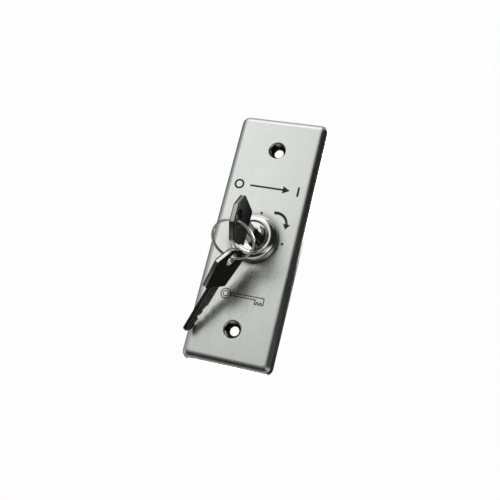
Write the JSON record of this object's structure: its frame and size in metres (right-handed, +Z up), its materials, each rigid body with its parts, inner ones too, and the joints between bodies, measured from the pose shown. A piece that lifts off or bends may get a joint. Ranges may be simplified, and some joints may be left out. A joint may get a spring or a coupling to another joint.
{
  "type": "selector key switch",
  "caption": "Narrow stainless wall plate with a chrome cam lock, two black-bowed keys on a split ring, and a cam-driven snap switch behind it.",
  "frame": {"origin": "centre of the plate's back, on the wall surface, midway between the two fixing holes", "axes": "+Z up along the plate's long side, -Y out of the wall towards the user, +X to the user's right"},
  "size_m": [0.041, 0.056, 0.115],
  "materials": {
    "stainless": "fine satin stainless sheet",
    "ink": "flat black screen print",
    "gasket": "matt black rubber",
    "chrome": "polished chrome plate",
    "plug": "turned nickel-plated brass",
    "brass": "stamped brass",
    "spring": "drawn spring wire",
    "zinc": "zinc-plated steel",
    "cam_acetal": "natural acetal",
    "case_black": "moulded black phenolic",
    "plunger_red": "moulded red acetal",
    "lever_steel": "stamped stainless strip",
    "contact_bronze": "phosphor bronze strip",
    "key_metal": "nickel silver, darkened",
    "key_plastic": "satin black moulding",
    "ring_steel": "bright nickel-plated spring steel"
  },
  "bodies": {
    "plate": {"face_plate": "stainless", "legend_print": "ink", "flange_gasket": "gasket", "lock_body": "chrome", "tooth_washer": "zinc", "switch_bracket": "zinc", "lock_nut": "plug", "switch_case": "case_black", "switch_cover": "case_black", "lever_pin": "lever_steel", "terminal_com": "brass", "terminal_no": "brass", "terminal_nc": "brass", "switch_screws": "zinc", "switch_nuts": "zinc"},
    "plug": {"lock_plug": "plug", "springs_upper": "spring", "springs_lower": "spring", "stop_washer": "zinc", "cam": "cam_acetal", "cam_washer": "zinc", "cam_screw": "zinc"},
    "upper_wafers": {"wafers_upper": "brass"},
    "lower_wafers": {"wafers_lower": "brass"},
    "plunger": {"switch_plunger": "plunger_red"},
    "lever": {"switch_lever": "lever_steel"},
    "contact_blade": {"moving_blade": "contact_bronze"},
    "key_1": {"key_1_blade": "key_metal", "key_1_bow": "key_plastic"},
    "ring": {"key_ring": "ring_steel"},
    "key_2": {"key_2_blade": "key_metal", "key_2_bow": "key_plastic"}
  },
  "joints": [
    {"name": "key_turn", "type": "hinge", "parent": "plate", "child": "plug", "pos_m": [0, 0, -0.0009], "axis": [0, 1, 0], "range_deg": [0, 90]},
    {"name": "key_insert", "type": "slide", "parent": "plug", "child": "key_1", "axis": [0, -1, 0], "range_m": [0, 0.02]},
    {"name": "wafer_lift_upper", "type": "slide", "parent": "plug", "child": "upper_wafers", "axis": [0, 0, 1], "range_m": [0, 0.0006012], "deforming": ["springs_upper"]},
    {"name": "wafer_lift_lower", "type": "slide", "parent": "plug", "child": "lower_wafers", "axis": [0, 0, -1], "range_m": [0, 0.0006012], "deforming": ["springs_lower"]},
    {"name": "ring_swing", "type": "hinge", "parent": "key_1", "child": "ring", "pos_m": [0, -0.0346, -0.0026], "axis": [-1, 0, 0], "range_deg": [0, 70]},
    {"name": "key_2_swing", "type": "hinge", "parent": "ring", "child": "key_2", "pos_m": [-0.00237, -0.0212, -0.01466], "axis": [-0.9962, -0.0648, 0.0583], "range_deg": [0, 20]},
    {"name": "lever_press", "type": "hinge", "parent": "plate", "child": "lever", "pos_m": [0.0089, 0.0116, -0.0093], "axis": [0, -1, 0], "range_deg": [0, 6.31]},
    {"name": "plunger_press", "type": "slide", "parent": "plate", "child": "plunger", "axis": [0, 0, -1], "range_m": [0, 0.00062124]},
    {"name": "contact_throw", "type": "hinge", "parent": "plate", "child": "contact_blade", "pos_m": [0.0074, 0.0116, -0.0135], "axis": [0, -1, 0], "range_deg": [0, 4.51]}
  ],
  "couplings": [
    {"joint": "wafer_lift_upper", "follows": "key_insert", "ratio": 0.03},
    {"joint": "wafer_lift_lower", "follows": "key_insert", "ratio": 0.03},
    {"joint": "lever_press", "follows": "key_turn", "ratio": 0.07},
    {"joint": "plunger_press", "follows": "key_turn", "m_per_rad": 0.0003947},
    {"joint": "contact_throw", "follows": "key_turn", "ratio": 0.05}
  ]
}
